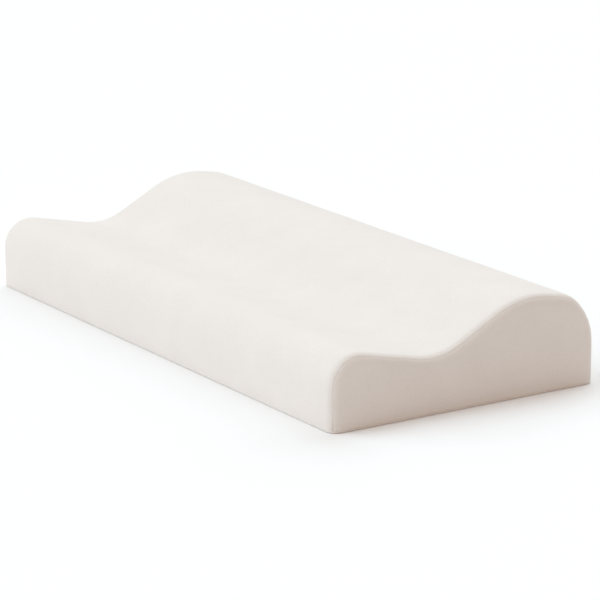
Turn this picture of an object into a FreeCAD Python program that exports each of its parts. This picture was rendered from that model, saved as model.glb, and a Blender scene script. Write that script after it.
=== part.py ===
import FreeCAD, Part
import os
from math import cos, pi, sin, tan

from FreeCAD import Vector

# A contour neck cushion: a moulded foam core in a thin liner and a close-fitting zipped cover.
# Millimetres. +X runs along the cushion, +Y from the low lobe to the high lobe, +Z up.
# The origin is the middle of the flat base.

# Overall size
LENGTH = 600.0
WIDTH = 285.0

# The outside of the cross-section: corners (y, z) of the outline and the radius that rounds each
FRONT_CORNER = (-WIDTH / 2, 74.5, 28.0)
VALLEY_CORNER = (-28.0, 50.0, 60.0)
LOBE_CORNER = (59.0, 96.0, 95.0)
SHOULDER_CORNER = (118.5, 85.5, 37.0)
REAR_CORNER = (WIDTH / 2, 59.0, 54.0)
EDGE_RADIUS = 10.0          # rounding between the section and the two flat ends

# Layers, from the outside in
COVER_THICKNESS = 1.6
LINER_THICKNESS = 0.6
LAYER_GAP = 0.3
LINER_INSET = COVER_THICKNESS + LAYER_GAP
FOAM_INSET = LINER_INSET + LINER_THICKNESS + LAYER_GAP

# Seams of the cover: a thread line in the slot between two panels
SEAM_SLOT = 0.8
SEAM_INSET = 0.3
SEAM_DEPTH = 0.9

# Zip, let into the rear wall just above the base, with its slider parked at the -X end
ZIP_HEIGHT = 15.0           # middle of the chain above the base
ZIP_HALF = 272.0            # half the opening in the cover
TAPE_END = 6.0              # how far the tapes run on past the opening
CHAIN_HALF = 266.0          # half the chain between its end stops
OPENING_HALF = 5.2          # half the height of the opening between the cloth edges
TAPE_WIDTH = 12.0
TAPE_THICKNESS = 0.5
TAPE_GAP = 0.1              # between the cloth's inner face and the tape
CHAIN_SLOT = 0.9            # half the space between the two tapes
COIL_SLOT = 0.5             # half the space between the two rows of teeth
COIL_HEIGHT = 2.5
COIL_THICKNESS = 2.1
COIL_ROUNDING = (0.6, 0.9)  # of a row's front edges, beside the slot and away from it
STOP_LENGTH = 2.5
STOP_ROUNDING = 0.5
RELIEF_DEPTH = 4.0          # how far behind the outer wall the liner lies along the zip
RELIEF_TOP = 29.5
RELIEF_HALF = 284.0
STITCH_RISE = 0.3           # thread standing on the cloth beside the zip
STITCH_HEIGHT = 0.5
STITCH_OFFSET = 3.0         # from the cloth edge to the row of stitches

# Slider and pull tab
SLIDER_LENGTH = 13.0
SLIDER_START = -CHAIN_HALF + 1.0 + SLIDER_LENGTH / 2
# Outline of the front plate from mouth to tail: place along the slider, half width, corner radius
PLATE_OUTLINE = ((0.0, 3.6, 1.6), (4.0, 4.9, 3.0), (SLIDER_LENGTH, 4.2, 1.2))
PLATE_ROUNDING = 0.35
PLATE_THICKNESS = 1.2
REAR_PLATE_NARROWING = 0.5
PLATE_CLEARANCE = 0.8       # between the cloth and the underside of the front plate
FLANGE_INNER = 3.2
FLANGE_THICKNESS = 0.9
FLANGE_SPAN = (2.6, SLIDER_LENGTH - 0.8)
NECK_HALF = 0.35
NECK_SPAN = (1.2, 4.0)
SLIDER_GAP = 0.4            # between the slider's inner faces and the tapes
JOINING = 0.3               # how far one part of the slider runs into the next
BAIL_HALF_LENGTH = 4.6
BAIL_HALF_WIDTH = 1.0
BAIL_BAR = 1.1
BAIL_SPACE = 2.1            # clear height under the bail's bar
BAIL_ROUNDING = (1.8, 0.9)  # outside and inside of the arch
TAB_LENGTH = 27.0
TAB_THICKNESS = 1.2
TAB_HALF_WIDTH = 3.4
TAB_ARM_WIDTH = 1.2
TAB_NECK = (7.2, 5.0)       # where the arms end, and the length over which they widen
TAB_ROUNDING = 0.3
TAB_WINDOW_HALF = 1.5
TAB_WINDOW_LENGTH = 6.2
TAB_PIN_RADIUS = 0.55
TAB_ARM_END = 0.15          # how far the pin stands out past the ends of the arms

# Care label sewn inside the left end
LABEL_SIZE = (40.0, 30.0)
LABEL_THICKNESS = 0.2
LABEL_CORNER = (60.0, 4.0)

REACH = 1000.0              # half the size of the boxes that trim the layers
TOUCH = 0.01                # nearer than this counts as lying in a plane


def box(low, high):
    """Box between two opposite corners."""
    size = Vector(*high) - Vector(*low)
    return Part.makeBox(size.x, size.y, size.z, Vector(*low))


def rounded_wire(corners):
    """Closed wire through (point, radius) corners: straight runs joined by tangent arcs."""
    edges = []
    ends = []
    for i, (corner, radius) in enumerate(corners):
        before = corners[i - 1][0]
        after = corners[(i + 1) % len(corners)][0]
        if not radius:
            ends.append((corner, corner))
            continue
        into = (before - corner).normalize()
        out = (after - corner).normalize()
        half = into.getAngle(out) / 2
        start = corner + into * (radius / tan(half))
        end = corner + out * (radius / tan(half))
        bisector = (into + out).normalize()
        middle = corner + bisector * (radius / sin(half) - radius)
        edges.append(Part.Arc(start, middle, end).toShape())
        ends.append((start, end))
    for i, (start, end) in enumerate(ends):
        edges.append(Part.LineSegment(ends[i - 1][1], start).toShape())
    return Part.Wire(Part.sortEdges(edges)[0])


def section():
    """Outer cross-section of the cushion, a face in the YZ plane."""
    shaped = (FRONT_CORNER, VALLEY_CORNER, LOBE_CORNER, SHOULDER_CORNER, REAR_CORNER)
    corners = [(Vector(0, -WIDTH / 2, 0), 0)]
    corners += [(Vector(0, y, z), radius) for y, z, radius in shaped]
    corners.append((Vector(0, WIDTH / 2, 0), 0))
    return Part.Face(rounded_wire(corners))


def layer(inset):
    """The whole cushion, drawn in by inset on every side, with its end edges rounded."""
    face = section().makeOffset2D(-inset) if inset else section()
    half = LENGTH / 2 - inset
    body = face.extrude(Vector(2 * half, 0, 0))
    body.translate(Vector(-half, 0, 0))
    rims = []
    for edge in body.Edges:
        bounds = edge.BoundBox
        on_end = bounds.XLength < TOUCH
        on_base = bounds.ZMax < inset + TOUCH
        if on_end and not on_base:
            rims.append(edge)
    return body.makeFillet(EDGE_RADIUS - inset, rims)


def relieved_layer(inset):
    """A layer inside the cover, set back behind the zip by the same amount all along it."""
    inner = inset - LINER_INSET
    behind_zip = box((-RELIEF_HALF - inner, WIDTH / 2 - RELIEF_DEPTH - inner, 0),
                     (RELIEF_HALF + inner, WIDTH, RELIEF_TOP + inner))
    return layer(inset).cut(behind_zip)


def seam_plane(inset):
    """Distance along X at which the end edge's rounding of a layer is half turned."""
    return LENGTH / 2 - inset - (EDGE_RADIUS - inset) * (1 - cos(pi / 4))


def between(solid, low, high):
    """The part of a solid between two X planes."""
    return solid.common(box((low, -REACH, -REACH), (high, REACH, REACH)))


def above(solid, height):
    """The part of a solid above a height."""
    return solid.common(box((-REACH, -REACH, height), (REACH, REACH, REACH)))


def foam_core():
    return relieved_layer(FOAM_INSET)


def liner_pieces():
    """Sleeve and two end pieces of the thin liner, split on the rounded end edges."""
    shell = relieved_layer(LINER_INSET).cut(relieved_layer(LINER_INSET + LINER_THICKNESS))
    split = seam_plane(LINER_INSET)
    return {
        "liner_sleeve": between(shell, -split, split),
        "liner_end_left": between(shell, -REACH, -split),
        "liner_end_right": between(shell, split, REACH),
    }


def zip_window():
    """Space in the rear wall that the zip and the strip of cloth below it fill."""
    top = ZIP_HEIGHT + OPENING_HALF
    return box((-ZIP_HALF, WIDTH / 2 - 2 * COVER_THICKNESS, 0), (ZIP_HALF, WIDTH, top))


def cover_pieces():
    """Cover panels and the thread lines that join them."""
    outside = layer(0)
    walls = above(outside.cut(layer(COVER_THICKNESS)), COVER_THICKNESS + SEAM_SLOT)
    thread = layer(SEAM_INSET).cut(layer(SEAM_INSET + SEAM_DEPTH))
    split = seam_plane(0)
    half_slot = SEAM_SLOT / 2
    window = zip_window()
    strip_top = ZIP_HEIGHT - OPENING_HALF
    strip_space = box((-ZIP_HALF, 0, 0), (ZIP_HALF, WIDTH, strip_top))
    thread_walls = above(thread, COVER_THICKNESS + SEAM_SLOT)
    base_slot = box((-REACH, -REACH, COVER_THICKNESS), (REACH, REACH, COVER_THICKNESS + SEAM_SLOT))
    base = box((-REACH, -REACH, 0), (REACH, REACH, COVER_THICKNESS))
    return {
        "cover_wrap": between(walls, -split + half_slot, split - half_slot).cut(window),
        "cover_end_left": between(walls, -REACH, -split - half_slot),
        "cover_end_right": between(walls, split + half_slot, REACH),
        "cover_base": outside.common(base),
        "cover_zip_strip": walls.common(window).common(strip_space),
        "end_seam_left": between(thread_walls, -split - half_slot, -split + half_slot),
        "end_seam_right": between(thread_walls, split - half_slot, split + half_slot),
        "base_seam": thread.common(base_slot),
    }


def zip_pieces():
    """Tapes, rows of teeth, end stops and the stitching that holds the tapes in the cover."""
    tape_back = WIDTH / 2 - COVER_THICKNESS - TAPE_GAP - TAPE_THICKNESS
    tape_front = tape_back + TAPE_THICKNESS
    pieces = {}
    tape_half = ZIP_HALF + TAPE_END
    for name, side in (("upper", 1), ("lower", -1)):
        tape = box((-tape_half, tape_back, CHAIN_SLOT), (tape_half, tape_front, TAPE_WIDTH))
        coil = coil_row(tape_front)
        stitch_low = OPENING_HALF + STITCH_OFFSET
        stitch = box((-ZIP_HALF, WIDTH / 2, stitch_low),
                     (ZIP_HALF, WIDTH / 2 + STITCH_RISE, stitch_low + STITCH_HEIGHT))
        for kind, shape in (("tape", tape), ("coil", coil), ("stitching", stitch)):
            if side < 0:
                shape = shape.mirror(Vector(0, 0, 0), Vector(0, 0, 1))
            shape.translate(Vector(0, 0, ZIP_HEIGHT))
            pieces["zip_%s_%s" % (kind, name)] = shape
    for name, start in (("closed", -CHAIN_HALF - STOP_LENGTH), ("open", CHAIN_HALF)):
        height = COIL_SLOT + COIL_HEIGHT
        stop = box((start, tape_front, ZIP_HEIGHT - height),
                   (start + STOP_LENGTH, tape_front + COIL_THICKNESS, ZIP_HEIGHT + height))
        pieces["zip_stop_%s" % name] = stop.makeFillet(STOP_ROUNDING, stop.Edges)
    return pieces


def coil_row(tape_front):
    """The upper row of teeth as one bar with rounded edges, standing on the tape."""
    low = COIL_SLOT
    high = COIL_SLOT + COIL_HEIGHT
    front = tape_front + COIL_THICKNESS
    x = -CHAIN_HALF
    outline = rounded_wire([
        (Vector(x, tape_front, low), 0),
        (Vector(x, front, low), COIL_ROUNDING[0]),
        (Vector(x, front, high), COIL_ROUNDING[1]),
        (Vector(x, tape_front, high), 0),
    ])
    return Part.Face(outline).extrude(Vector(2 * CHAIN_HALF, 0, 0))


def slider_plate(back, thickness, narrowing):
    """One plate of the slider, widest behind its mouth, which faces -X."""
    mouth = -SLIDER_LENGTH / 2
    corners = [(Vector(mouth + x, back, w - narrowing), r) for x, w, r in PLATE_OUTLINE]
    corners += [(Vector(mouth + x, back, narrowing - w), r) for x, w, r in reversed(PLATE_OUTLINE)]
    plate = Part.Face(rounded_wire(corners)).extrude(Vector(0, thickness, 0))
    return plate.makeFillet(PLATE_ROUNDING, plate.Edges)


def slider():
    """Front and back plates, the neck between the rows, side flanges and the bail."""
    cloth = WIDTH / 2
    plate_back = cloth + PLATE_CLEARANCE
    plate_front = plate_back + PLATE_THICKNESS
    tape_back = cloth - COVER_THICKNESS - TAPE_GAP - TAPE_THICKNESS
    rear_plate_front = tape_back - SLIDER_GAP
    rear_plate_back = cloth - RELIEF_DEPTH + LAYER_GAP
    mouth = -SLIDER_LENGTH / 2
    parts = [slider_plate(plate_back, PLATE_THICKNESS, 0),
             slider_plate(rear_plate_back, rear_plate_front - rear_plate_back,
                          REAR_PLATE_NARROWING)]
    parts.append(box((mouth + NECK_SPAN[0], rear_plate_back + JOINING, -NECK_HALF),
                     (mouth + NECK_SPAN[1], plate_back + JOINING, NECK_HALF)))
    flange_tip = tape_back + TAPE_THICKNESS + SLIDER_GAP
    for low in (FLANGE_INNER, -FLANGE_INNER - FLANGE_THICKNESS):
        parts.append(box((mouth + FLANGE_SPAN[0], flange_tip, low),
                         (mouth + FLANGE_SPAN[1], plate_back + JOINING, low + FLANGE_THICKNESS)))
    parts.append(bail(plate_front))
    body = parts[0].multiFuse(parts[1:])
    body.translate(Vector(SLIDER_START, 0, ZIP_HEIGHT))
    return body


def bail(plate_front):
    """Arch on the front plate that holds the pull tab."""
    low = plate_front - JOINING
    inner = plate_front + BAIL_SPACE
    outside = arch(BAIL_HALF_LENGTH, low, inner + BAIL_BAR, BAIL_ROUNDING[0])
    inside = arch(BAIL_HALF_LENGTH - BAIL_BAR, low - BAIL_BAR, inner, BAIL_ROUNDING[1])
    return outside.cut(inside)


def arch(half_length, bottom, top, radius):
    """Block as wide as the bail, with its two front corners rounded."""
    side = -BAIL_HALF_WIDTH
    corners = [(Vector(-half_length, bottom, side), 0),
               (Vector(-half_length, top, side), radius),
               (Vector(half_length, top, side), radius),
               (Vector(half_length, bottom, side), 0)]
    return Part.Face(rounded_wire(corners)).extrude(Vector(0, 0, 2 * BAIL_HALF_WIDTH))


def pin_place():
    """Axis of the pull tab's pin: x and y."""
    plate_front = WIDTH / 2 + PLATE_CLEARANCE + PLATE_THICKNESS
    return SLIDER_START, plate_front + BAIL_SPACE / 2


def pull_tab():
    """Flat tab with a window that the bail passes through and a round pin under the bail."""
    pin_x, pin_y = pin_place()
    back = -TAB_THICKNESS / 2
    arm_half = TAB_WINDOW_HALF + TAB_ARM_WIDTH
    neck, widening = TAB_NECK
    side = [(-TAB_ARM_END, arm_half, 0.6), (-neck, arm_half, 10.0),
            (-neck - widening, TAB_HALF_WIDTH, 10.0), (-TAB_LENGTH, TAB_HALF_WIDTH, 2.0)]
    corners = [(Vector(x, back, w), r) for x, w, r in side]
    corners += [(Vector(x, back, -w), r) for x, w, r in reversed(side)]
    plate = Part.Face(rounded_wire(corners)).extrude(Vector(0, TAB_THICKNESS, 0))
    rims = [edge for edge in plate.Edges if edge.BoundBox.YLength < 0.01]
    plate = plate.makeFillet(TAB_ROUNDING, rims)
    window = box((-TAB_WINDOW_LENGTH, back, -TAB_WINDOW_HALF), (0, -back, TAB_WINDOW_HALF))
    pin_half = TAB_WINDOW_HALF + TAB_ARM_WIDTH / 2
    pin = Part.makeCylinder(TAB_PIN_RADIUS, 2 * pin_half,
                            Vector(-TAB_PIN_RADIUS, 0, -pin_half), Vector(0, 0, 1))
    tab = plate.cut(window).fuse(pin)
    tab.translate(Vector(TAB_PIN_RADIUS + pin_x, pin_y, ZIP_HEIGHT))
    return tab


def care_label():
    """Blank label between the left end panel and the liner."""
    x = -LENGTH / 2 + COVER_THICKNESS + (LAYER_GAP - LABEL_THICKNESS) / 2
    y, z = LABEL_CORNER
    width, height = LABEL_SIZE
    return box((x, y, z), (x + LABEL_THICKNESS, y + width, z + height))


def main():
    pieces = {"foam_core": foam_core()}
    pieces.update(liner_pieces())
    pieces.update(cover_pieces())
    pieces.update(zip_pieces())
    pieces["zip_slider"] = slider()
    pieces["zip_pull_tab"] = pull_tab()
    pieces["care_label"] = care_label()
    os.makedirs("parts", exist_ok=True)
    for node, shape in pieces.items():
        shape = shape.removeSplitter()
        print("%-20s solids %d valid %s volume %.1f" %
              (node, len(shape.Solids), shape.isValid(), shape.Volume))
        shape.exportStep("parts/%s.step" % node)
    print("pull tab axis x %.2f y %.2f z %.2f" % (*pin_place(), ZIP_HEIGHT))


main()
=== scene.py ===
from math import cos, pi, radians, sin, tan

import bmesh
import bpy
import numpy as np
from bpy.props import FloatProperty, FloatVectorProperty, PointerProperty
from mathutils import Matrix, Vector, noise


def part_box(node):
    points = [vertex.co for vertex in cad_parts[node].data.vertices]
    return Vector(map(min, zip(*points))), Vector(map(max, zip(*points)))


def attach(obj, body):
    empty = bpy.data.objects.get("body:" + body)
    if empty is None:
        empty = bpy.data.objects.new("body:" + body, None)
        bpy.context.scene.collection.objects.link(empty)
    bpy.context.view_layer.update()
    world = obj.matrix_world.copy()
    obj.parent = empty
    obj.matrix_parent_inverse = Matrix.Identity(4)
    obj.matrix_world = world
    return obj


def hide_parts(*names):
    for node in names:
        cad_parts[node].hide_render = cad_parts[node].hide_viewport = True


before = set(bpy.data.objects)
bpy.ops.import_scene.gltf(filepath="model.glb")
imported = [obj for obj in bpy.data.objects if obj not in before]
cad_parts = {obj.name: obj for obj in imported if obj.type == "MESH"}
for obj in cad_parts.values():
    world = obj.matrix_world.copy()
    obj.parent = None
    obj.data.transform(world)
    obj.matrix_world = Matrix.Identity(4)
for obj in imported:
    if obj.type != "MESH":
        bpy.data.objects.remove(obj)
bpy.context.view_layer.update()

bl_info = {
    "name": "Contour neck cushion",
    "version": (1, 0, 0),
    "blender": (4, 5, 0),
    "location": "View3D > Sidebar > Cushion",
    "description": "Builds a contour neck cushion: foam core, liner, sewn knit cover and coil zip",
    "category": "Object",
}

MM = 0.001

# The body that all the cloth and foam rides on
BODY = "cushion"

# Outline of the cushion's section: corners (y, z) in millimetres, front to rear, and the radius of each
SECTION = (
    ((-142.5, 74.5), 28.0),
    ((-28.0, 50.0), 60.0),
    ((59.0, 96.0), 95.0),
    ((118.5, 85.5), 37.0),
    ((142.5, 59.0), 54.0),
)

# Turned edge of a panel: distance back from the seam and depth below the face, in lip radii
LIP_PROFILE = ((0.15, 0.7), (0.15, 2.0), (2.0, 4.5))

# Seed of the surface's slow unevenness, so that each run gives the same form
WAVE_SEED = 7

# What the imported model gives
BASE_LOW, BASE_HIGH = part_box("cover_base")
HALF_LENGTH = BASE_HIGH.x
HALF_WIDTH = BASE_HIGH.y
FOAM_INSET = HALF_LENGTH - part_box("foam_core")[1].x
LINER_INSET = HALF_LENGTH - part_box("liner_end_right")[1].x
STRIP_LOW, STRIP_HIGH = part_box("cover_zip_strip")
COIL_LOW, COIL_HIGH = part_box("zip_coil_upper")
ZIP_Z = (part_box("zip_coil_lower")[0].z + COIL_HIGH.z) / 2
OPENING_HALF = ZIP_Z - STRIP_HIGH.z
TAPE_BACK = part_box("zip_tape_upper")[0].y


# ---------------------------------------------------------------- helpers

def linear(code):
    """Linear colour of an sRGB hex code."""
    channels = [int(code[i:i + 2], 16) / 255 for i in (0, 2, 4)]
    return [c / 12.92 if c <= 0.04045 else ((c + 0.055) / 1.055) ** 2.4 for c in channels]


def rgba(colour):
    """Colour with full alpha."""
    return (*colour, 1.0)


def add_node(tree, kind, links=(), **values):
    """Adds a node, sets its properties and sockets, and links (output, input name) pairs to it."""
    node = tree.nodes.new(kind)
    for name, value in values.items():
        if hasattr(node, name):
            setattr(node, name, value)
        else:
            node.inputs[name.replace("_", " ")].default_value = value
    for source, name in links:
        tree.links.new(source, node.inputs[name])
    return node


def direction(azimuth, elevation):
    """Unit vector turned from the front towards the right end and raised above the horizon."""
    return Vector((sin(azimuth) * cos(elevation), -cos(azimuth) * cos(elevation), sin(elevation)))


def new_object(name, mesh, material, body=BODY):
    """Object at the origin that holds the mesh, takes the material and rides on a body."""
    piece = bpy.data.objects.new(name, mesh)
    bpy.context.scene.collection.objects.link(piece)
    mesh.materials.append(material)
    for face in mesh.polygons:
        face.use_smooth = True
    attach(piece, body)
    return piece


def settings():
    """The sizes and colours in the scene's property groups."""
    return bpy.context.scene.cushion


# ---------------------------------------------------------------- materials

# Finished materials by slot
MATERIALS = {}


def bands(length):
    """Scale of a wave texture whose bands lie this far apart."""
    return pi / (10 * length)


def start_material(name, colour, roughness, **sockets):
    """Material with one Principled shader and Object coordinates to build on."""
    material = bpy.data.materials.new(name)
    material.use_nodes = True
    tree = material.node_tree
    tree.nodes.clear()
    shader = add_node(tree, "ShaderNodeBsdfPrincipled", Base_Color=rgba(colour),
                      Roughness=roughness, **sockets)
    add_node(tree, "ShaderNodeOutputMaterial", [(shader.outputs["BSDF"], "Surface")])
    place = add_node(tree, "ShaderNodeTexCoord").outputs["Object"]
    return material, tree, shader, place


def velour_knit(colour):
    """Polyester velour knit, raised and cropped: matt, with a fine short nap that shows as a soft
    grain, brighter at grazing angles, and a tone that drifts over some centimetres where the nap
    lies a little differently."""
    material, tree, shader, place = start_material(
        "velour_knit", colour, 0.92, Sheen_Weight=0.35, Sheen_Roughness=0.45,
        Specular_IOR_Level=0.25)
    nap = add_node(tree, "ShaderNodeTexNoise", [(place, "Vector")],
                   Scale=1 / (0.55 * MM), Detail=2.0, Roughness=0.6)
    # Clumps of nap are coarser than the fibres, as cropped pile leans together in small patches
    clumps = add_node(tree, "ShaderNodeTexNoise", [(place, "Vector")],
                      Scale=1 / (2.6 * MM), Detail=2.0, Roughness=0.5)
    drift = add_node(tree, "ShaderNodeTexNoise", [(place, "Vector")],
                     Scale=1 / (38 * MM), Detail=2.0, Roughness=0.5)
    pile = add_node(tree, "ShaderNodeMath", [(clumps.outputs["Fac"], 0), (nap.outputs["Fac"], 2)],
                    operation="MULTIPLY_ADD")
    pile.inputs[1].default_value = 0.6
    tone = add_node(tree, "ShaderNodeMath", [(drift.outputs["Fac"], 0), (pile.outputs[0], 2)],
                    operation="MULTIPLY_ADD")
    tone.inputs[1].default_value = 0.6
    shade = add_node(tree, "ShaderNodeMapRange", [(tone.outputs[0], "Value")],
                     From_Min=0.6, From_Max=1.6)
    mix = add_node(tree, "ShaderNodeMix", [(shade.outputs["Result"], "Factor")], data_type="RGBA")
    mix.inputs[6].default_value = rgba([c * 0.94 for c in colour])
    mix.inputs[7].default_value = rgba([min(1.0, c * 1.04) for c in colour])
    tree.links.new(mix.outputs[2], shader.inputs["Base Color"])
    bump = add_node(tree, "ShaderNodeBump", [(pile.outputs[0], "Height")],
                    Strength=0.5, Distance=0.3 * MM)
    tree.links.new(bump.outputs["Normal"], shader.inputs["Normal"])
    return material


def jersey_knit(colour):
    """Thin cotton jersey: fine vertical wales under a soft matt face."""
    material, tree, shader, place = start_material("jersey_knit", colour, 0.9, Sheen_Weight=0.15)
    wales = add_node(tree, "ShaderNodeTexWave", [(place, "Vector")], wave_type="BANDS",
                     bands_direction="X", Scale=bands(1.2 * MM), Distortion=1.5, Detail=2.0)
    courses = add_node(tree, "ShaderNodeTexWave", [(place, "Vector")], wave_type="BANDS",
                       bands_direction="DIAGONAL", Scale=bands(0.9 * MM), Distortion=2.0)
    loops = add_node(tree, "ShaderNodeMath", [(wales.outputs["Fac"], 0), (courses.outputs["Fac"], 1)],
                     operation="MULTIPLY")
    bump = add_node(tree, "ShaderNodeBump", [(loops.outputs[0], "Height")],
                    Strength=0.4, Distance=0.2 * MM)
    tree.links.new(bump.outputs["Normal"], shader.inputs["Normal"])
    return material


def moulded_foam(colour):
    """Viscoelastic polyurethane foam: dull skin with fine open pores and a few larger blow holes."""
    material, tree, shader, place = start_material(
        "moulded_foam", colour, 0.85, Subsurface_Weight=0.1, Subsurface_Scale=2 * MM)
    pores = add_node(tree, "ShaderNodeTexVoronoi", [(place, "Vector")], Scale=1 / (0.9 * MM))
    holes = add_node(tree, "ShaderNodeTexVoronoi", [(place, "Vector")], Scale=1 / (6 * MM))
    depth = add_node(tree, "ShaderNodeMath", operation="MINIMUM",
                     links=[(pores.outputs["Distance"], 0), (holes.outputs["Distance"], 1)])
    bump = add_node(tree, "ShaderNodeBump", [(depth.outputs[0], "Height")],
                    Strength=0.5, Distance=0.3 * MM)
    tree.links.new(bump.outputs["Normal"], shader.inputs["Normal"])
    return material


def woven_tape(colour):
    """Woven polyester zip tape: narrow ribs along its length crossed by a fine weft."""
    material, tree, shader, place = start_material("woven_tape", colour, 0.75, Sheen_Weight=0.1)
    warp = add_node(tree, "ShaderNodeTexWave", [(place, "Vector")], wave_type="BANDS",
                    bands_direction="Z", Scale=bands(0.8 * MM))
    weft = add_node(tree, "ShaderNodeTexWave", [(place, "Vector")], wave_type="BANDS",
                    bands_direction="X", Scale=bands(0.6 * MM))
    weave = add_node(tree, "ShaderNodeMath", [(warp.outputs["Fac"], 0), (weft.outputs["Fac"], 1)],
                     operation="MULTIPLY")
    bump = add_node(tree, "ShaderNodeBump", [(weave.outputs[0], "Height")],
                    Strength=0.6, Distance=0.15 * MM)
    tree.links.new(bump.outputs["Normal"], shader.inputs["Normal"])
    return material


def nylon(colour):
    """Drawn nylon filament, heat set: smooth, slightly translucent, a soft gloss."""
    material, tree, shader, place = start_material(
        "nylon_filament", colour, 0.38, IOR=1.53, Subsurface_Weight=0.15, Subsurface_Scale=0.5 * MM)
    drawn = add_node(tree, "ShaderNodeTexNoise", [(place, "Vector")], Scale=1 / (0.6 * MM), Detail=1.0)
    spread = add_node(tree, "ShaderNodeMapRange", [(drawn.outputs["Fac"], "Value")],
                      To_Min=0.3, To_Max=0.46)
    tree.links.new(spread.outputs["Result"], shader.inputs["Roughness"])
    return material


def enamelled_zinc(colour):
    """Die-cast zinc under baked enamel: an even gloss with slight orange peel."""
    material, tree, shader, place = start_material(
        "enamelled_zinc", colour, 0.3, Coat_Weight=0.4, Coat_Roughness=0.12)
    peel = add_node(tree, "ShaderNodeTexNoise", [(place, "Vector")], Scale=1 / (0.9 * MM), Detail=2.0)
    bump = add_node(tree, "ShaderNodeBump", [(peel.outputs["Fac"], "Height")],
                    Strength=0.15, Distance=0.05 * MM)
    tree.links.new(bump.outputs["Normal"], shader.inputs["Normal"])
    return material


def sewing_thread(colour):
    """Spun polyester thread: dull, with the diagonal of its twist."""
    material, tree, shader, place = start_material("sewing_thread", colour, 0.7, Sheen_Weight=0.2)
    twist = add_node(tree, "ShaderNodeTexWave", [(place, "Vector")], wave_type="BANDS",
                     bands_direction="DIAGONAL", Scale=bands(0.5 * MM), Distortion=0.5)
    bump = add_node(tree, "ShaderNodeBump", [(twist.outputs["Fac"], "Height")],
                    Strength=0.5, Distance=0.1 * MM)
    tree.links.new(bump.outputs["Normal"], shader.inputs["Normal"])
    return material


def satin_ribbon(colour):
    """Polyester satin ribbon, left blank: smooth, with a sheen across its floats."""
    material, tree, shader, place = start_material(
        "satin_ribbon", colour, 0.4, Sheen_Weight=0.3, Anisotropic=0.5)
    floats = add_node(tree, "ShaderNodeTexWave", [(place, "Vector")], wave_type="BANDS",
                      bands_direction="Z", Scale=bands(0.4 * MM), Distortion=0.3)
    bump = add_node(tree, "ShaderNodeBump", [(floats.outputs["Fac"], "Height")],
                    Strength=0.2, Distance=0.05 * MM)
    tree.links.new(bump.outputs["Normal"], shader.inputs["Normal"])
    return material


def painted_board(colour):
    """Studio floor board in matt white paint, with a trace of roller grain."""
    material, tree, shader, place = start_material("painted_board", colour, 0.9,
                                                   Specular_IOR_Level=0.1)
    grain = add_node(tree, "ShaderNodeTexNoise", [(place, "Vector")], Scale=1 / (4 * MM), Detail=2.0)
    bump = add_node(tree, "ShaderNodeBump", [(grain.outputs["Fac"], "Height")],
                    Strength=0.05, Distance=0.2 * MM)
    tree.links.new(bump.outputs["Normal"], shader.inputs["Normal"])
    return material


def material_of(slot):
    """The finish of a material slot, made once."""
    colours = settings().colours
    makers = {
        "cover_knit": (velour_knit, colours.cover),
        "liner_jersey": (jersey_knit, colours.liner),
        "foam": (moulded_foam, colours.foam),
        "zip_tape": (woven_tape, colours.tape),
        "zip_nylon": (nylon, colours.teeth),
        "zip_metal": (enamelled_zinc, colours.slider),
        "thread": (sewing_thread, colours.thread),
        "label_satin": (satin_ribbon, colours.label),
        "floor": (painted_board, colours.floor),
    }
    if slot not in MATERIALS:
        maker, colour = makers[slot]
        MATERIALS[slot] = maker(list(colour))
    return MATERIALS[slot]


# ---------------------------------------------------------------- the cushion's form

def outline_samples():
    """Close samples (y, z, normal y, normal z) of the section from the front base corner over
    the top to the rear one, and the index of the middle of each rounded corner."""
    corners = [Vector((-HALF_WIDTH, 0.0))]
    corners += [Vector(point) * MM for point, radius in SECTION]
    corners.append(Vector((HALF_WIDTH, 0.0)))
    samples = [(-HALF_WIDTH, 0.0, -1.0, 0.0)]
    middles = []
    steps = 16
    for i, (point, radius) in enumerate(SECTION, start=1):
        radius = radius * MM
        into = (corners[i - 1] - corners[i]).normalized()
        out = (corners[i + 1] - corners[i]).normalized()
        half = into.angle(out) / 2
        bisector = (into + out).normalized()
        centre = corners[i] + bisector * (radius / sin(half))
        convex = 1.0 if into.cross(out) > 0 else -1.0
        first = corners[i] + into * (radius / tan(half)) - centre
        last = corners[i] + out * (radius / tan(half)) - centre
        for step in range(steps + 1):
            arm = first.slerp(last, step / steps).normalized()
            samples.append((*(centre + arm * radius), *(arm * convex)))
        middles.append(len(samples) - 1 - steps // 2)
    samples.append((HALF_WIDTH, 0.0, 1.0, 0.0))
    return np.array(samples), middles


def wall_rows(arc_end, fixed, count):
    """Distances from the base up to arc_end: the fixed ones first, then evenly spaced ones."""
    rest = np.linspace(fixed[-1], arc_end, count + 2 - len(fixed))[1:]
    return np.concatenate([fixed, rest])


def section_ring():
    """Points (y, z, normal y, normal z) of the front wall, the top and the rear wall in one row,
    with how many segments lie in a wall and in the top."""
    form = settings().form
    samples, middles = outline_samples()
    run = np.concatenate([[0], np.cumsum(np.hypot(*np.diff(samples[:, :2], axis=0).T))])
    front_end = run[middles[0]]
    rear_end = run[-1] - run[middles[-1] - 8]
    walls = 13
    top = int((run[-1] - front_end - rear_end) / form.face_size) + 1
    hem = 3 * MM
    front = wall_rows(front_end, [0, hem], walls)
    zip_edges = [STRIP_HIGH.z - hem, STRIP_HIGH.z, ZIP_Z + OPENING_HALF, ZIP_Z + OPENING_HALF + hem]
    rear = wall_rows(rear_end, [0, hem, *zip_edges], walls)
    places = np.concatenate([
        front,
        np.linspace(front_end, run[-1] - rear_end, top + 1)[1:-1],
        run[-1] - rear[::-1],
    ])
    ring = np.column_stack([np.interp(places, run, samples[:, k]) for k in range(4)])
    ring[:, 2:] /= np.hypot(ring[:, 2], ring[:, 3])[:, None]
    return ring, walls, top


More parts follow.
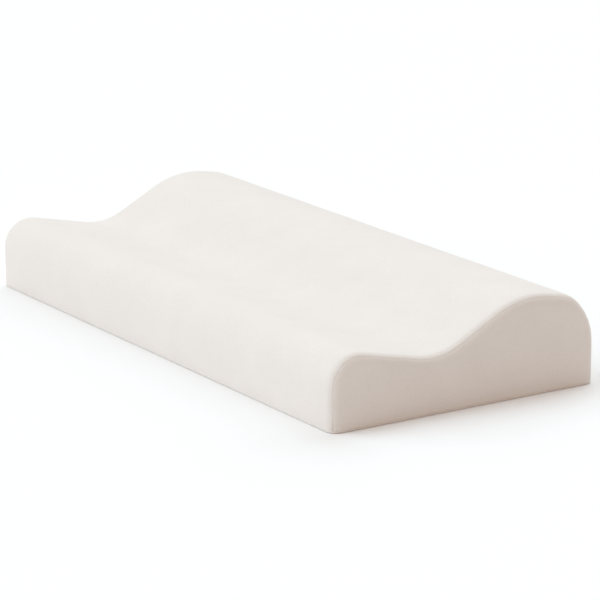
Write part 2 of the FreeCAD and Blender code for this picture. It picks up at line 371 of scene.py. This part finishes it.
def stations(inset):
    """(x, inward offset, x inside the base) of each ring from left to right: rounded ends and an
    even middle. The base's own rings are spaced evenly, so that its edge has room to turn."""
    form = settings().form
    radius = form.edge_radius - inset
    flat = HALF_LENGTH - form.edge_radius
    right = []
    for k in range(1, 7):
        turn = k / 6 * pi / 2
        x = flat + radius * sin(turn)
        right.append((x, inset + radius * (1 - cos(turn)), flat + radius * k / 6))
    hem = 3 * MM
    edge = STRIP_HIGH.x
    half = [edge * k / 45 for k in range(45)]
    half += [edge - hem, edge, edge + hem, (edge + hem + flat) / 2, flat]
    right = [(x, inset, x) for x in half[1:]] + right
    left = [(-x, offset, -inner) for x, offset, inner in reversed(right)]
    return left + [(0.0, inset, 0.0)] + right


def cushion_mesh(inset):
    """Closed quad mesh of the cushion drawn in by inset. Returns points, faces and face tags."""
    ring, walls, top = section_ring()
    count = len(ring)
    lid = top - 1
    points = []
    rows = stations(inset)
    for x, offset, inner in rows:
        outside = ring[:, :2] - ring[:, 2:] * offset
        outside[0, 1] = outside[-1, 1] = inset
        spread = np.linspace(0, 1, top + 1)[1:-1, None]
        base = outside[-1] * (1 - spread) + outside[0] * spread
        points += [(x, y, max(z, inset)) for y, z in outside]
        points += [(inner, y, z) for y, z in base]
    around = count + lid
    faces, tags = [], []
    for i in range(len(rows) - 1):
        for j in range(around):
            a, b = i * around + j, i * around + (j + 1) % around
            faces.append((a, a + around, b + around, b))
            tags.append(face_tag(rows, i, j, count, walls))
    for side, row in (("left", 0), ("right", len(rows) - 1)):
        add_end_cap(points, faces, tags, side, row * around, count, walls, top)
    return points, faces, tags


def face_tag(rows, i, j, count, walls):
    """The panel that a face between two stations and two outline rows belongs to."""
    turned = radians(45)
    offset = (rows[i][1] + rows[i + 1][1]) / 2 - min(r[1] for r in rows)
    middle = (rows[i][0] + rows[i + 1][0]) / 2
    if j >= count - 1:
        return "base"
    radius = settings().form.edge_radius
    if offset > radius * (1 - cos(turned)) and abs(middle) > HALF_LENGTH / 2:
        return "left" if middle < 0 else "right"
    rows_up = count - 2 - j
    if abs(middle) < STRIP_HIGH.x and rows_up <= 2:
        return "strip"
    if abs(middle) < STRIP_HIGH.x and rows_up == 3:
        return "opening"
    return "wrap"


def add_end_cap(points, faces, tags, side, start, count, walls, top):
    """Flat end face, filled with quads between the base line, the walls and the top line."""
    rim = [Vector(p) for p in points[start:start + count + top - 1]]
    left = list(range(0, walls + 1))
    upper = list(range(walls, walls + top + 1))
    right = list(range(count - 1, count - 2 - walls, -1))
    lower = [0] + list(range(count + top - 2, count - 1, -1)) + [count - 1]
    grid = {}
    for j in range(walls + 1):
        grid[0, j] = start + left[j]
        grid[top, j] = start + right[j]
    for i in range(top + 1):
        grid[i, 0] = start + lower[i]
        grid[i, walls] = start + upper[i]
    for i in range(1, top):
        u = i / top
        for j in range(1, walls):
            v = rim[left[j]].z / rim[left[-1]].z * (1 - u)
            v += rim[right[j]].z / rim[right[-1]].z * u
            across = rim[left[j]] * (1 - u) + rim[right[j]] * u
            up = rim[lower[i]] * (1 - v) + rim[upper[i]] * v
            flat = (rim[left[0]] * (1 - v) + rim[left[-1]] * v) * (1 - u)
            flat += (rim[right[0]] * (1 - v) + rim[right[-1]] * v) * u
            grid[i, j] = len(points)
            points.append(tuple(across + up - flat))
    for i in range(top):
        for j in range(walls):
            face = (grid[i, j], grid[i + 1, j], grid[i + 1, j + 1], grid[i, j + 1])
            faces.append(face if side == "right" else face[::-1])
            tags.append(side)


def settled(points, faces, tags):
    """The cover's points after its cloth has settled on the foam: a Cloth simulation with a
    little pressure inside, held along the seams, the zip and the base, and capped."""
    form = settings().form
    mesh = bpy.data.meshes.new("settling")
    mesh.from_pydata(points, [], faces)
    held = set()
    for face, tag in zip(faces, tags):
        if tag in ("base", "strip", "opening"):
            held.update(face)
    shared = {}
    for face, tag in zip(faces, tags):
        for corner in face:
            shared.setdefault(corner, set()).add(tag)
    held.update(corner for corner, around in shared.items() if len(around) > 1)
    cloth_object = bpy.data.objects.new("settling", mesh)
    bpy.context.scene.collection.objects.link(cloth_object)
    group = cloth_object.vertex_groups.new(name="held")
    group.add(sorted(held), 1.0, "REPLACE")
    cloth = cloth_object.modifiers.new("Cloth", "CLOTH")
    cloth.settings.quality = 5
    cloth.settings.mass = 0.3
    cloth.settings.use_pressure = True
    cloth.settings.uniform_pressure_force = form.pressure
    cloth.settings.vertex_group_mass = "held"
    cloth.settings.effector_weights.gravity = 0
    cloth.collision_settings.use_collision = False
    scene = bpy.context.scene
    scene.frame_start, scene.frame_end = 1, 20
    for step in range(1, 21):
        scene.frame_set(step)
    shape = cloth_object.evaluated_get(bpy.context.evaluated_depsgraph_get())
    moved = np.array([v.co for v in shape.data.vertices])
    scene.frame_set(1)
    rest = np.array(points)
    shift = moved - rest
    length = np.linalg.norm(shift, axis=1)[:, None]
    capped = form.crown * np.tanh(length / form.give)
    bpy.data.objects.remove(cloth_object)
    bpy.data.meshes.remove(mesh)
    print("settling: free movement up to %.1f mm, kept under %.1f mm"
          % (length.max() / MM, capped.max() / MM))
    return rest + shift / np.maximum(length, 1e-9) * capped


def drifted(points, tags_at):
    """Adds the slow unevenness of soft foam under cloth, away from the base and the zip."""
    form = settings().form
    noise.seed_set(WAVE_SEED)
    result = []
    for point, around in zip(points, tags_at):
        p = Vector(point)
        if not around & {"base", "strip", "opening"}:
            fade = min(1.0, max(0.0, p.z - 4 * MM) / (20 * MM))
            wave = p / form.wave_size
            p += noise.noise_vector(wave) * form.wave_height * fade
        result.append(p)
    return result


def panel(wanted, points, faces, tags, name, node, slot, thickness, fill):
    """One sewn panel: the faces with the wanted tags, edges rolled in towards the seams, a
    subdivision and the thickness of the cloth."""
    mesh = bmesh.new()
    index = {}
    for face, own in zip(faces, tags):
        if own in wanted:
            for corner in face:
                if corner not in index:
                    index[corner] = mesh.verts.new(points[corner])
            mesh.faces.new([index[corner] for corner in face])
    mesh.normal_update()
    roll_edges(mesh)
    data = bpy.data.meshes.new(name)
    mesh.to_mesh(data)
    mesh.free()
    piece = new_object(name, data, material_of(slot))
    smooth = piece.modifiers.new("Subdivision", "SUBSURF")
    smooth.levels = smooth.render_levels = 1
    cloth = piece.modifiers.new("Solidify", "SOLIDIFY")
    cloth.thickness = thickness
    cloth.offset = -1.0
    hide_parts(node)
    return piece


def lip_radius(place):
    """Radius of the turned edge at a place: larger along the base seam."""
    form = settings().form
    return form.base_lip if place.z < 2.5 * form.base_rim else form.lip


def roll_edges(mesh):
    """Turns the open edges of a sheet inwards: a small round lip, then the allowance behind it."""
    rim = []
    for edge in mesh.edges:
        if edge.is_boundary:
            loop = edge.link_loops[0]
            rim.append((loop.link_loop_next.vert, loop.vert, loop.face))
    inward = {}
    for first, second, face in rim:
        side = face.normal.cross(first.co - second.co).normalized()
        if side.dot(face.calc_center_median() - first.co) < 0:
            side = -side
        for v in (first, second):
            inward[v] = inward.get(v, Vector()) + side
    home = {}
    for v, side in inward.items():
        lip = lip_radius(v.co)
        home[v] = (v.co.copy(), side.normalized() * lip, v.normal * lip)
    for v, (place, side, normal) in home.items():
        v.co = place + side * 1.3 - normal * 0.1
    previous = {v: v for v in home}
    for back, depth in LIP_PROFILE:
        ring = {}
        for v, (place, side, normal) in home.items():
            ring[v] = mesh.verts.new(place + side * back - normal * depth)
        for first, second, face in rim:
            mesh.faces.new([previous[first], previous[second], ring[second], ring[first]])
        previous = ring


def cover_form():
    """Points, faces and tags of the settled cover, and a copy of the points with the walls' base edge
    lifted to the base seam.
    """
    points, faces, tags = cushion_mesh(0.0)
    around = [set() for p in points]
    for face, tag in zip(faces, tags):
        for corner in face:
            around[corner].add(tag)
    points = settled(points, faces, tags)
    points = drifted(points, around)
    rim = settings().form.base_rim
    walls = {"wrap", "left", "right", "strip"}
    lifted = [p.copy() for p in points]
    for p, near in zip(lifted, around):
        if "base" in near and near & walls:
            p.z += rim
    return points, lifted, faces, tags


# ---------------------------------------------------------------- stitches and zip

def stitch_mesh(mesh, start, end, radius, out):
    """One stitch: a capsule of thread between two points, flattened a little towards out."""
    along = (end - start).normalized()
    across = along.cross(out).normalized()
    profile = ((0.0, 0.0), (0.06, 0.6), (0.2, 0.95), (0.8, 0.95), (0.94, 0.6), (1.0, 0.0))
    sides = 6
    rings = []
    for share, size in profile:
        centre = start.lerp(end, share)
        if size == 0:
            rings.append([mesh.verts.new(centre)])
            continue
        ring = []
        for k in range(sides):
            turn = 2 * pi * k / sides
            ring.append(mesh.verts.new(centre + across * radius * size * cos(turn)
                                       + out * radius * size * 0.8 * sin(turn)))
        rings.append(ring)
    for one, two in zip(rings, rings[1:]):
        for k in range(sides):
            a, b = one[k % len(one)], one[(k + 1) % len(one)]
            c, d = two[(k + 1) % len(two)], two[k % len(two)]
            corners = [a, b, c, d]
            unique = [v for n, v in enumerate(corners) if v not in corners[:n]]
            mesh.faces.new(unique)


def stitched(name, path, outs, node):
    """A row of stitches along a path of points, with the direction that each faces."""
    thread = settings().thread
    lengths = [0.0]
    for a, b in zip(path, path[1:]):
        lengths.append(lengths[-1] + (b - a).length)
    count = round(lengths[-1] / thread.pitch)
    pitch = lengths[-1] / count
    table = np.array([[*p, *o] for p, o in zip(path, outs)])

    def at(distance):
        values = [np.interp(distance, lengths, table[:, k]) for k in range(6)]
        return Vector(values[:3]), Vector(values[3:]).normalized()

    mesh = bmesh.new()
    for k in range(count):
        start, out = at(pitch * (k + 0.08))
        end, _ = at(pitch * (k + 0.92))
        stitch_mesh(mesh, start, end, thread.thickness / 2, out)
    bmesh.ops.recalc_face_normals(mesh, faces=mesh.faces)
    data = bpy.data.meshes.new(name)
    mesh.to_mesh(data)
    mesh.free()
    piece = new_object(name, data, material_of("thread"))
    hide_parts(node)
    return piece


def end_seam_path(side):
    """Path of an end seam on the rounded edge, sunk below the cloth, and its facings."""
    form = settings().form
    ring, walls, top = section_ring()
    sunk = form.lip * 2 + 0.4 * MM
    turned = form.edge_radius * (1 - cos(pi / 4))
    x = HALF_LENGTH - turned - sunk * cos(pi / 4)
    path, outs = [], []
    for y, z, ny, nz in ring:
        offset = turned + sunk * cos(pi / 4)
        if z < form.base_rim * 2:
            continue
        path.append(Vector((side * x, y - ny * offset, z - nz * offset)))
        outs.append(Vector((side, ny, nz)).normalized())
    return path, outs


def base_seam_path():
    """Path of the seam round the base, just inside the walls, and its facings."""
    form = settings().form
    sunk = form.base_lip * 2 + 0.4 * MM
    radius = form.edge_radius
    path, outs = [], []
    corners = ((1, -1, 0), (1, 1, 90), (-1, 1, 180), (-1, -1, 270))
    for sx, sy, first in corners:
        centre = Vector((sx * (HALF_LENGTH - radius), sy * (HALF_WIDTH - radius), form.base_rim))
        for k in range(9):
            turn = radians(first - 90 + 90 * k / 8)
            out = Vector((cos(turn), sin(turn), 0))
            path.append(centre + out * (radius - sunk))
            outs.append(out)
    path.append(path[0])
    outs.append(outs[0])
    return path, outs


def coil_path(side):
    """Axis of one row of the coil: a flattened helix whose heads reach the middle of the chain."""
    coil = settings().zip
    pitch = coil.pitch
    reach = 0.25 * MM
    wire = coil.wire / 2
    low_y = COIL_LOW.y + wire
    high_y = COIL_HIGH.y - wire
    inner = -reach
    outer = COIL_HIGH.z - ZIP_Z - wire
    turns = int((COIL_HIGH.x - COIL_LOW.x) / pitch)
    start = COIL_LOW.x + (pitch / 2 if side < 0 else 0)
    points = []
    for k in range(turns):
        x = start + k * pitch
        loop = ((0.00, outer, low_y + 0.3 * MM), (0.10, outer, high_y - 0.4 * MM),
                (0.18, outer - 0.4 * MM, high_y), (0.30, inner + 0.5 * MM, high_y),
                (0.38, inner, high_y - 0.35 * MM), (0.46, inner, low_y + 0.35 * MM),
                (0.56, inner + 0.5 * MM, low_y), (0.86, outer - 0.4 * MM, low_y))
        for share, z, y in loop:
            points.append(Vector((x + pitch * (share - 0.24), y, ZIP_Z + side * z)))
    return points


def coil_row(name, side, node):
    """One row of nylon coil turns as a bevelled curve."""
    coil = settings().zip
    path = coil_path(side)
    curve = bpy.data.curves.new(name, "CURVE")
    curve.dimensions = "3D"
    curve.bevel_depth = coil.wire / 2
    curve.bevel_resolution = 1
    curve.resolution_u = 1
    curve.use_fill_caps = True
    spline = curve.splines.new("POLY")
    spline.points.add(len(path) - 1)
    for point, place in zip(spline.points, path):
        point.co = (*place, 1.0)
    piece = bpy.data.objects.new(name, curve)
    bpy.context.scene.collection.objects.link(piece)
    curve.materials.append(material_of("zip_nylon"))
    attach(piece, BODY)
    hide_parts(node)
    return piece


# ---------------------------------------------------------------- sizes and colours

class FormSettings(bpy.types.PropertyGroup):
    """Form of the foam and the cover."""
    edge_radius: FloatProperty(
        name="End edge radius", default=10 * MM, unit="LENGTH",
        description="Rounding of the edges round the two end faces")
    face_size: FloatProperty(
        name="Face size", default=6 * MM, unit="LENGTH",
        description="Spacing of the cage's faces over the top")
    crown: FloatProperty(
        name="Crown", default=0.7 * MM, unit="LENGTH",
        description="Most that the cloth may stand proud of the foam")
    give: FloatProperty(
        name="Give", default=10 * MM, unit="LENGTH",
        description="Free movement of the cloth that brings it close to the crown")
    pressure: FloatProperty(
        name="Pressure", default=4.0,
        description="Pressure inside the cover while its cloth settles")
    wave_size: FloatProperty(
        name="Wave size", default=75 * MM, unit="LENGTH",
        description="Length of the slow unevenness of the surface")
    wave_height: FloatProperty(
        name="Wave height", default=0.35 * MM, unit="LENGTH",
        description="Height of the slow unevenness of the surface")
    lip: FloatProperty(
        name="Seam lip", default=0.35 * MM, unit="LENGTH",
        description="Radius with which a panel's edge turns into a seam")
    base_lip: FloatProperty(
        name="Base lip", default=0.8 * MM, unit="LENGTH",
        description="Radius with which the edges turn into the base seam")
    base_rim: FloatProperty(
        name="Base rim", default=1.6 * MM, unit="LENGTH",
        description="Height of the base seam above the base")
    cover_thickness: FloatProperty(
        name="Cover thickness", default=0.8 * MM, unit="LENGTH",
        description="Thickness of the cover's knit")
    liner_thickness: FloatProperty(
        name="Liner thickness", default=0.4 * MM, unit="LENGTH",
        description="Thickness of the liner's jersey")


class ThreadSettings(bpy.types.PropertyGroup):
    """Sewing thread and stitches."""
    thickness: FloatProperty(
        name="Thread thickness", default=0.5 * MM, unit="LENGTH",
        description="Diameter of the sewing thread")
    pitch: FloatProperty(
        name="Stitch length", default=2.8 * MM, unit="LENGTH",
        description="Length of one stitch with its gap")


class ZipSettings(bpy.types.PropertyGroup):
    """Coil zip."""
    pitch: FloatProperty(
        name="Tooth pitch", default=1.5 * MM, unit="LENGTH",
        description="Distance between two turns of a coil")
    wire: FloatProperty(
        name="Filament", default=0.68 * MM, unit="LENGTH",
        description="Diameter of the coil's filament")


class ColourSettings(bpy.types.PropertyGroup):
    """Colours of the finishes."""
    cover: FloatVectorProperty(
        name="Cover", subtype="COLOR", default=linear("ece6e1"),
        description="Velour knit of the cover")
    liner: FloatVectorProperty(
        name="Liner", subtype="COLOR", default=linear("f2f1ee"),
        description="Jersey of the liner")
    foam: FloatVectorProperty(
        name="Foam", subtype="COLOR", default=linear("ece2c6"),
        description="Moulded foam of the core")
    tape: FloatVectorProperty(
        name="Tape", subtype="COLOR", default=linear("ebe5dd"),
        description="Woven zip tape")
    teeth: FloatVectorProperty(
        name="Teeth", subtype="COLOR", default=linear("e6dfd5"),
        description="Nylon coil")
    slider: FloatVectorProperty(
        name="Slider", subtype="COLOR", default=linear("e3dbd0"),
        description="Enamel of the slider and pull tab")
    thread: FloatVectorProperty(
        name="Thread", subtype="COLOR", default=linear("e0d8cd"),
        description="Sewing thread")
    label: FloatVectorProperty(
        name="Label", subtype="COLOR", default=linear("f4f3f1"),
        description="Blank satin label")
    floor: FloatVectorProperty(
        name="Floor", subtype="COLOR", default=linear("f8f8f8"),
        description="Painted studio floor")


class StageSettings(bpy.types.PropertyGroup):
    """Camera and lights, each light's strength under its name."""
    azimuth: FloatProperty(
        name="Azimuth", default=radians(57.24), subtype="ANGLE",
        description="Camera's turn from the front towards the right end")
    elevation: FloatProperty(
        name="Elevation", default=radians(15.7), subtype="ANGLE",
        description="Camera's height above the horizon")
    distance: FloatProperty(
        name="Distance", default=2.947, unit="LENGTH",
        description="From the camera to the middle of the base")
    lens: FloatProperty(
        name="Lens", default=185.1,
        description="Focal length in millimetres")
    sky: FloatProperty(
        name="Sky", default=0.43,
        description="Strength of the even light all round")
    sky_colour: FloatVectorProperty(
        name="Sky colour", subtype="COLOR", default=linear("ffddc4"),
        description="Colour of the even light")
    backdrop: FloatVectorProperty(
        name="Backdrop", subtype="COLOR", default=linear("fdfdfd"),
        description="Colour of the studio beyond the floor")
    lamp_colour: FloatVectorProperty(
        name="Lamp colour", subtype="COLOR", default=linear("dff4ff"),
        description="Colour of the wide lights")
    key: FloatProperty(
        name="Key", default=1.64,
        description="Strength of the wide light from the front left")
    top: FloatProperty(
        name="Top", default=0.94,
        description="Strength of the wide light from above")
    back: FloatProperty(
        name="Back", default=1.43,
        description="Strength of the wide light from the rear left")


class CushionSettings(bpy.types.PropertyGroup):
    """All of the cushion's settings."""
    form: PointerProperty(type=FormSettings)
    thread: PointerProperty(type=ThreadSettings)
    zip: PointerProperty(type=ZipSettings)
    colours: PointerProperty(type=ColourSettings)
    stage: PointerProperty(type=StageSettings)


# ---------------------------------------------------------------- operators

class CUSHION_OT_stage(bpy.types.Operator):
    """Makes the floor, the lights and the camera"""
    bl_idname = "cushion.make_stage"
    bl_label = "Stage"

    def execute(self, context):
        stage = settings().stage
        reach = 30.0
        mesh = bpy.data.meshes.new("floor")
        corners = [(-reach, -reach, 0), (reach, -reach, 0), (reach, reach, 0), (-reach, reach, 0)]
        mesh.from_pydata(corners, [], [(0, 1, 2, 3)])
        floor = bpy.data.objects.new("floor", mesh)
        context.scene.collection.objects.link(floor)
        mesh.materials.append(material_of("floor"))
        context.scene.world = self.studio(stage)
        self.softbox("key", -30, 35, stage.key)
        self.softbox("top", 0, 90, stage.top)
        self.softbox("back", -146, 35, stage.back)
        context.scene.view_settings.view_transform = "Standard"
        self.camera(stage)
        return {"FINISHED"}

    def studio(self, stage):
        """Even light all round, with a pale backdrop where the eye looks past the floor's edge."""
        world = bpy.data.worlds.new("studio")
        world.use_nodes = True
        tree = world.node_tree
        tree.nodes.clear()
        sky = add_node(tree, "ShaderNodeBackground", Color=rgba(stage.sky_colour), Strength=stage.sky)
        backdrop = add_node(tree, "ShaderNodeBackground", Color=rgba(stage.backdrop))
        seen = add_node(tree, "ShaderNodeLightPath").outputs["Is Camera Ray"]
        parts = [(seen, 0), (sky.outputs[0], 1), (backdrop.outputs[0], 2)]
        light = add_node(tree, "ShaderNodeMixShader", parts)
        add_node(tree, "ShaderNodeOutputWorld", [(light.outputs[0], "Surface")])
        return world

    def softbox(self, name, azimuth, elevation, strength):
        """Wide, even light from far off, in degrees from the front and above the horizon."""
        light = bpy.data.lights.new(name, "SUN")
        light.angle = radians(60)
        light.energy = strength
        light.color = settings().stage.lamp_colour
        lamp = bpy.data.objects.new(name, light)
        towards = direction(radians(azimuth), radians(elevation))
        lamp.rotation_euler = towards.to_track_quat("Z", "Y").to_euler()
        bpy.context.scene.collection.objects.link(lamp)

    def camera(self, stage):
        """Camera with a long lens, at a three-quarter view from just above."""
        back = direction(stage.azimuth, stage.elevation)
        aim = Vector((3, 18.6, 28.6)) * MM
        data = bpy.data.cameras.new("camera")
        data.lens = stage.lens
        data.clip_end = 100
        camera = bpy.data.objects.new("camera", data)
        camera.location = back * stage.distance
        camera.rotation_euler = (aim - camera.location).to_track_quat("-Z", "Y").to_euler()
        bpy.context.scene.collection.objects.link(camera)
        bpy.context.scene.camera = camera


class CUSHION_OT_cover(bpy.types.Operator):
    """Makes the cover's five panels from one settled form"""
    bl_idname = "cushion.make_cover"
    bl_label = "Cover panels"

    def execute(self, context):
        thickness = settings().form.cover_thickness
        points, lifted, faces, tags = cover_form()
        cloth = ("cover_knit", thickness, 0.95)
        panel({"wrap"}, lifted, faces, tags, "top_panel", "cover_wrap", *cloth)
        panel({"left"}, lifted, faces, tags, "left_end_panel", "cover_end_left", *cloth)
        panel({"right"}, lifted, faces, tags, "right_end_panel", "cover_end_right", *cloth)
        panel({"base"}, points, faces, tags, "base_panel", "cover_base", *cloth)
        panel({"strip"}, lifted, faces, tags, "zip_strip", "cover_zip_strip", *cloth)
        return {"FINISHED"}


class CUSHION_OT_core(bpy.types.Operator):
    """Makes the foam core and the liner's sleeve and ends"""
    bl_idname = "cushion.make_core"
    bl_label = "Foam and liner"

    def execute(self, context):
        form = settings().form
        self.foam()
        points, faces, tags = cushion_mesh(LINER_INSET)
        points = self.relieved(points, LINER_INSET)
        cloth = ("liner_jersey", form.liner_thickness, 1.0)
        sleeve = {"wrap", "strip", "opening", "base"}
        panel(sleeve, points, faces, tags, "liner_sleeve_knit", "liner_sleeve", *cloth)
        panel({"left"}, points, faces, tags, "liner_left_knit", "liner_end_left", *cloth)
        panel({"right"}, points, faces, tags, "liner_right_knit", "liner_end_right", *cloth)
        return {"FINISHED"}

    def relieved(self, points, inset):
        """Sets the rear wall back behind the zip."""
        behind = TAPE_BACK - 1.8 * MM - (inset - LINER_INSET)
        result = []
        for x, y, z in points:
            if z < ZIP_Z + 14.5 * MM and abs(x) < HALF_LENGTH - 16 * MM:
                y = min(y, behind)
            result.append(Vector((x, y, z)))
        return result

    def foam(self):
        """The foam block, closed all round."""
        points, faces, tags = cushion_mesh(FOAM_INSET)
        mesh = bpy.data.meshes.new("foam_block")
        mesh.from_pydata(self.relieved(points, FOAM_INSET), [], faces)
        piece = new_object("foam_block", mesh, material_of("foam"))
        smooth = piece.modifiers.new("Subdivision", "SUBSURF")
        smooth.levels = smooth.render_levels = 1
        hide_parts("foam_core")


class CUSHION_OT_seams(bpy.types.Operator):
    """Sews the end seams, the base seam and the rows beside the zip"""
    bl_idname = "cushion.make_seams"
    bl_label = "Stitching"

    def execute(self, context):
        for side, name in ((-1, "left"), (1, "right")):
            path, outs = end_seam_path(side)
            stitched("%s_seam_stitches" % name, path, outs, "end_seam_%s" % name)
        path, outs = base_seam_path()
        stitched("base_seam_stitches", path, outs, "base_seam")
        for name in ("upper", "lower"):
            low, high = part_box("zip_stitching_%s" % name)
            z = (low.z + high.z) / 2
            y = low.y + 0.05 * MM
            path = [Vector((low.x, y, z)), Vector((high.x, y, z))]
            outs = [Vector((0, 1, 0))] * 2
            stitched("zip_%s_stitches" % name, path, outs, "zip_stitching_%s" % name)
        return {"FINISHED"}


class CUSHION_OT_zip(bpy.types.Operator):
    """Winds the two rows of coil and finishes the zip's other pieces"""
    bl_idname = "cushion.make_zip"
    bl_label = "Zip"

    def execute(self, context):
        coil_row("upper_coil_turns", 1, "zip_coil_upper")
        coil_row("lower_coil_turns", -1, "zip_coil_lower")
        finishes = {
            "zip_tape_upper": "zip_tape", "zip_tape_lower": "zip_tape",
            "zip_stop_closed": "zip_nylon", "zip_stop_open": "zip_nylon",
            "zip_slider": "zip_metal", "zip_pull_tab": "zip_metal", "care_label": "label_satin",
        }
        for node, slot in finishes.items():
            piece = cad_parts[node]
            piece.data.materials.clear()
            piece.data.materials.append(material_of(slot))
        return {"FINISHED"}


class CUSHION_PT_panel(bpy.types.Panel):
    """Lists the cushion's pieces"""
    bl_idname = "CUSHION_PT_panel"
    bl_label = "Contour neck cushion"
    bl_space_type = "VIEW_3D"
    bl_region_type = "UI"
    bl_category = "Cushion"

    def draw(self, context):
        for operator in OPERATORS:
            self.layout.operator(operator.bl_idname)
        for group in ("form", "thread", "zip", "colours", "stage"):
            box = self.layout.box()
            box.label(text=group.capitalize())
            values = getattr(context.scene.cushion, group)
            for name in values.__annotations__:
                box.prop(values, name)


OPERATORS = (CUSHION_OT_stage, CUSHION_OT_cover, CUSHION_OT_core, CUSHION_OT_seams, CUSHION_OT_zip)
GROUPS = (FormSettings, ThreadSettings, ZipSettings, ColourSettings, StageSettings, CushionSettings)


def register():
    """Adds the settings, the operators and the panel."""
    for cls in (*GROUPS, *OPERATORS, CUSHION_PT_panel):
        bpy.utils.register_class(cls)
    bpy.types.Scene.cushion = PointerProperty(type=CushionSettings)


def unregister():
    """Takes them away again."""
    del bpy.types.Scene.cushion
    for cls in reversed((*GROUPS, *OPERATORS, CUSHION_PT_panel)):
        bpy.utils.unregister_class(cls)


def main():
    """Makes every piece in turn."""
    register()
    bpy.ops.cushion.make_stage()
    bpy.ops.cushion.make_core()
    bpy.ops.cushion.make_cover()
    bpy.ops.cushion.make_seams()
    bpy.ops.cushion.make_zip()


if __name__ == "__main__":
    main()
